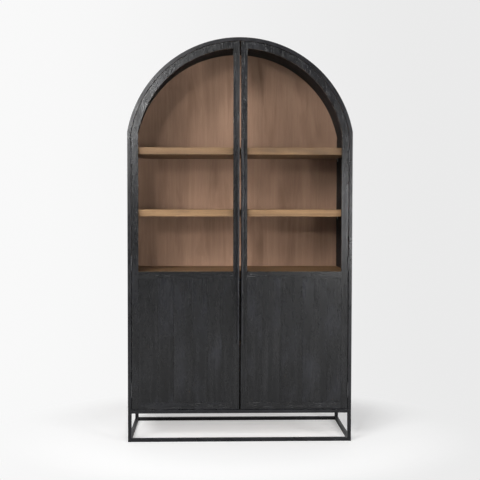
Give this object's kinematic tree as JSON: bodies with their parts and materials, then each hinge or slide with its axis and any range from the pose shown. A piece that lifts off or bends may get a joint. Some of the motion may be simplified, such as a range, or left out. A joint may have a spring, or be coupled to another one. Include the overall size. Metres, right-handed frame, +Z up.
{
  "type": "arched curio cabinet",
  "caption": "Arched display cabinet on an open square-tube iron base, with shelves behind glass, a closed cupboard below and two full-height hinged doors.",
  "frame": {"origin": "on the floor, under the middle of the width and of the whole depth with the handles", "axes": "+Z up, -Y out of the front (the doors), +X to the right of someone facing the front"},
  "size_m": [1.22, 0.483, 2.195],
  "materials": {
    "black_iron": "matt black paint on square iron tube",
    "black_hinge_steel": "satin black hinges and screws",
    "black_stained_wood": "black stain, open grain, matt lacquer",
    "tan_shelf_wood": "natural wood, matt lacquer",
    "brown_back_wood": "brown veneer, upright grain, matt",
    "clear_glass": "clear float glass",
    "zinc_steel": "zinc-plated steel",
    "black_plastic": "moulded, matt"
  },
  "bodies": {
    "cabinet": {"front_left_post": "black_iron", "front_right_post": "black_iron", "rear_left_post": "black_iron", "rear_right_post": "black_iron", "front_arch_tube": "black_iron", "rear_arch_tube": "black_iron", "front_foot_rail": "black_iron", "rear_foot_rail": "black_iron", "left_foot_rail": "black_iron", "right_foot_rail": "black_iron", "front_base_rail": "black_iron", "rear_base_rail": "black_iron", "left_base_rail": "black_iron", "right_base_rail": "black_iron", "post_plugs": "black_plastic", "panel_tabs": "black_iron", "panel_screws": "zinc_steel", "dowels": "tan_shelf_wood", "left_side_panel": "black_stained_wood", "right_side_panel": "black_stained_wood", "arch_panel": "black_stained_wood", "back_panel": "brown_back_wood", "bottom_panel": "tan_shelf_wood", "fixed_shelf": "tan_shelf_wood", "middle_shelf": "tan_shelf_wood", "upper_shelf": "tan_shelf_wood", "lower_shelf": "tan_shelf_wood", "shelf_pins": "zinc_steel", "hinge_frame_leaves": "black_hinge_steel", "hinge_pins": "black_hinge_steel", "hinge_frame_screws": "black_hinge_steel", "catch_body": "black_plastic", "catch_magnets": "zinc_steel", "catch_screws": "zinc_steel"},
    "left_door": {"left_outer_stile": "black_stained_wood", "left_meeting_stile": "black_stained_wood", "left_arched_rail": "black_stained_wood", "left_middle_rail": "black_stained_wood", "left_bottom_rail": "black_stained_wood", "left_lower_boards": "black_stained_wood", "left_glass": "clear_glass", "left_glass_beads": "black_stained_wood", "left_handle": "black_iron", "left_handle_screws": "zinc_steel", "left_hinge_leaves": "black_hinge_steel", "left_door_screws": "black_hinge_steel", "left_catch_plate": "zinc_steel"},
    "right_door": {"right_outer_stile": "black_stained_wood", "right_meeting_stile": "black_stained_wood", "right_arched_rail": "black_stained_wood", "right_middle_rail": "black_stained_wood", "right_bottom_rail": "black_stained_wood", "right_lower_boards": "black_stained_wood", "right_glass": "clear_glass", "right_glass_beads": "black_stained_wood", "right_handle": "black_iron", "right_handle_screws": "zinc_steel", "right_hinge_leaves": "black_hinge_steel", "right_door_screws": "black_hinge_steel", "right_catch_plate": "zinc_steel"}
  },
  "joints": [
    {"name": "left_door_hinge", "type": "hinge", "parent": "cabinet", "child": "left_door", "pos_m": [-0.5895, -0.2124, 0.977], "axis": [0, 0, -1], "range_deg": [0, 180]},
    {"name": "right_door_hinge", "type": "hinge", "parent": "cabinet", "child": "right_door", "pos_m": [0.5895, -0.2124, 0.977], "axis": [0, 0, 1], "range_deg": [0, 180]}
  ]
}
